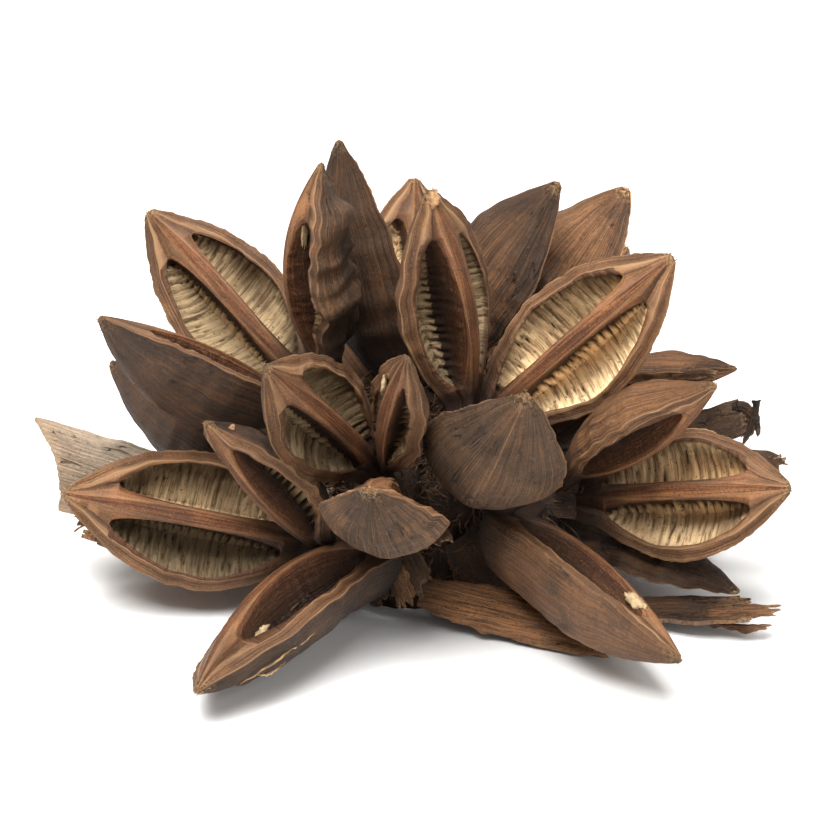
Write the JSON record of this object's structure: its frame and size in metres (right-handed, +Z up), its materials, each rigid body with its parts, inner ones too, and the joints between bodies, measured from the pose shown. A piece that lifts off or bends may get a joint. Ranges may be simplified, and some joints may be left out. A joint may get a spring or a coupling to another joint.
{
  "type": "star pod",
  "caption": "Dry palm fruit head of woody capsules, each split open like a star into ridged boat-shaped valves, with torn bracts.",
  "frame": {"origin": "on the flat cut underside of the stem, at the surface the head lies on", "axes": "+Z up out of the surface, -Y towards the side seen in the picture, +X to its right"},
  "size_m": [0.239, 0.2242, 0.1402],
  "materials": {
    "stem_wood": "fibrous dark stem, matt",
    "brown_wood": "dry split capsule wood, matt brown",
    "dark_wood": "weathered dark husk, matt",
    "grey_wood": "greyed husk, matt",
    "pale_wood": "bleached grey bract, matt"
  },
  "bodies": {
    "root": {"stem": "stem_wood", "valve_left_outer": "brown_wood", "valve_left_upper": "dark_wood", "valve_left_front": "dark_wood", "valve_right_outer": "brown_wood", "valve_right_front": "brown_wood", "valve_right_upper": "brown_wood", "valve_upper_right": "brown_wood", "valve_upper_tall": "brown_wood", "valve_upper_front": "grey_wood", "valve_front_left": "brown_wood", "valve_front_top": "brown_wood", "valve_front_low": "grey_wood", "valve_left_shoulder": "brown_wood", "valve_left_hanging": "dark_wood", "valve_left_tall": "grey_wood", "valve_top_left": "dark_wood", "valve_top_back": "brown_wood", "valve_top_right": "dark_wood", "valve_backright_tall": "dark_wood", "valve_backright_rear": "brown_wood", "valve_backright_side": "brown_wood", "valve_lowright_front": "dark_wood", "valve_lowright_side": "brown_wood", "valve_lowright_rear": "brown_wood", "valve_backleft_outer": "dark_wood", "valve_backleft_rear": "brown_wood", "valve_backleft_low": "dark_wood", "valve_back_left": "brown_wood", "valve_back_right": "brown_wood", "valve_back_low": "dark_wood", "bract_left": "pale_wood", "bract_left_low": "brown_wood", "bract_front": "brown_wood", "bract_right_low": "dark_wood", "bract_right": "brown_wood", "bract_right_upper": "dark_wood", "bract_right_middle": "dark_wood", "bract_back_left": "brown_wood", "bract_back_right": "brown_wood"}
  },
  "joints": []
}
